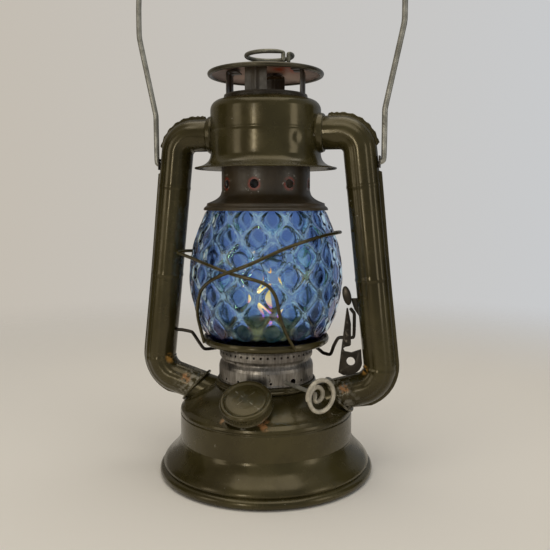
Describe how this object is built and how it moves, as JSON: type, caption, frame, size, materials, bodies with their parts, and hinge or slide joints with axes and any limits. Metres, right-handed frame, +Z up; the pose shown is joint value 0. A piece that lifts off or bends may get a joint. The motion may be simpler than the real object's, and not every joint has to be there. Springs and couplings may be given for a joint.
{
  "type": "tubular oil lantern",
  "caption": "Tubular oil lantern: turned tank with filler, side air tubes, sprung chimney under a vented hood and cap, blue glass globe on a crank lift, wick with wire knob, wire bail.",
  "frame": {"origin": "centre of the tank's base, on the surface the lantern stands on", "axes": "+Z up; the side tubes lie on X, so the bail turns about X; the filler cap faces -Y"},
  "size_m": [0.1548, 0.1238, 0.3456],
  "materials": {
    "olive_enamel": "glossy baked olive-brown enamel, chipped at edges",
    "smoked_enamel": "the same enamel, dulled and tinted by heat",
    "worn_steel": "plain sheet steel, worn and brown-grey",
    "dark_steel": "near-black oxide on steel wire and plate",
    "galvanised_wire": "dull galvanised wire",
    "knob_wire": "cream-grey coated wire",
    "brass": "heat-stained brass",
    "blue_glass": "moulded blue glass with a raised diamond lattice",
    "seal_rubber": "black ring, matte",
    "wick_cotton": "flat woven cotton, charred at the top"
  },
  "bodies": {
    "frame": {"tank_shell": "olive_enamel", "tank_bottom": "olive_enamel", "font_top": "worn_steel", "filler_neck": "olive_enamel", "burner_collar": "olive_enamel", "burner_base": "worn_steel", "burner_body": "worn_steel", "burner_dome": "brass", "wick_tube": "brass", "air_tube_left": "olive_enamel", "air_tube_right": "olive_enamel", "tube_socket_left": "olive_enamel", "tube_socket_right": "olive_enamel", "hood": "olive_enamel", "hood_ferrule_left": "olive_enamel", "hood_ferrule_right": "olive_enamel", "lift_bracket": "dark_steel", "lift_catch": "dark_steel", "bail_ear_left": "olive_enamel", "bail_ear_right": "olive_enamel", "chimney_spring": "galvanised_wire"},
    "bail": {"bail": "galvanised_wire"},
    "filler_seal": {"filler_seal": "seal_rubber"},
    "filler_cap": {"filler_cap": "olive_enamel"},
    "wick_raiser": {"wick_shaft": "knob_wire", "wick_sprocket": "brass", "wick_knob": "knob_wire"},
    "wick": {"wick": "wick_cotton"},
    "lift_lever": {"lift_wire": "dark_steel", "lift_thumb": "dark_steel"},
    "globe_carrier": {"globe_plate": "olive_enamel", "globe": "blue_glass", "guard_wire_low": "olive_enamel", "guard_wire_high": "olive_enamel"},
    "chimney": {"chimney": "smoked_enamel", "spring_seat": "worn_steel", "cap_leg_front": "smoked_enamel", "cap_leg_back": "smoked_enamel", "cap_leg_left": "smoked_enamel", "cap_leg_right": "smoked_enamel", "cap": "smoked_enamel", "lift_ring": "smoked_enamel"}
  },
  "joints": [
    {"name": "bail_swing", "type": "hinge", "parent": "frame", "child": "bail", "pos_m": [0, 0, 0.1771], "axis": [1, 0, 0], "range_deg": [-150, 150]},
    {"name": "filler_cap_rise", "type": "slide", "parent": "frame", "child": "filler_seal", "axis": [0, -0.515, 0.8572], "range_m": [0, 0.007]},
    {"name": "filler_cap_turn", "type": "hinge", "parent": "filler_seal", "child": "filler_cap", "pos_m": [0, -0.044, 0.0529], "axis": [0, -0.515, 0.8572], "range_deg": [0, 1080]},
    {"name": "wick_turn", "type": "hinge", "parent": "frame", "child": "wick_raiser", "pos_m": [-0.00294, -0.00321, 0.0568], "axis": [0.7373, -0.6756, 0], "range_deg": [-60, 130]},
    {"name": "wick_rise", "type": "slide", "parent": "frame", "child": "wick", "axis": [0, 0, 1], "range_m": [-0.0037, 0.0078]},
    {"name": "globe_rise", "type": "slide", "parent": "frame", "child": "globe_carrier", "axis": [0, 0, 1], "range_m": [0, 0.0127]},
    {"name": "lift_turn", "type": "hinge", "parent": "frame", "child": "lift_lever", "pos_m": [0, 0, 0.0792], "axis": [1, 0, 0], "range_deg": [0, 23]},
    {"name": "chimney_pull", "type": "slide", "parent": "globe_carrier", "child": "chimney", "axis": [0, 0, 1], "range_m": [0, 0.007], "stiffness_N_per_m": 200, "springref_m": -0.008, "deforming": ["chimney_spring"]}
  ],
  "couplings": [
    {"joint": "filler_cap_rise", "follows": "filler_cap_turn", "m_per_rad": 0.000366},
    {"joint": "wick_rise", "follows": "wick_turn", "m_per_rad": 0.0034},
    {"joint": "lift_turn", "follows": "globe_rise", "rad_per_m": 31.4}
  ]
}
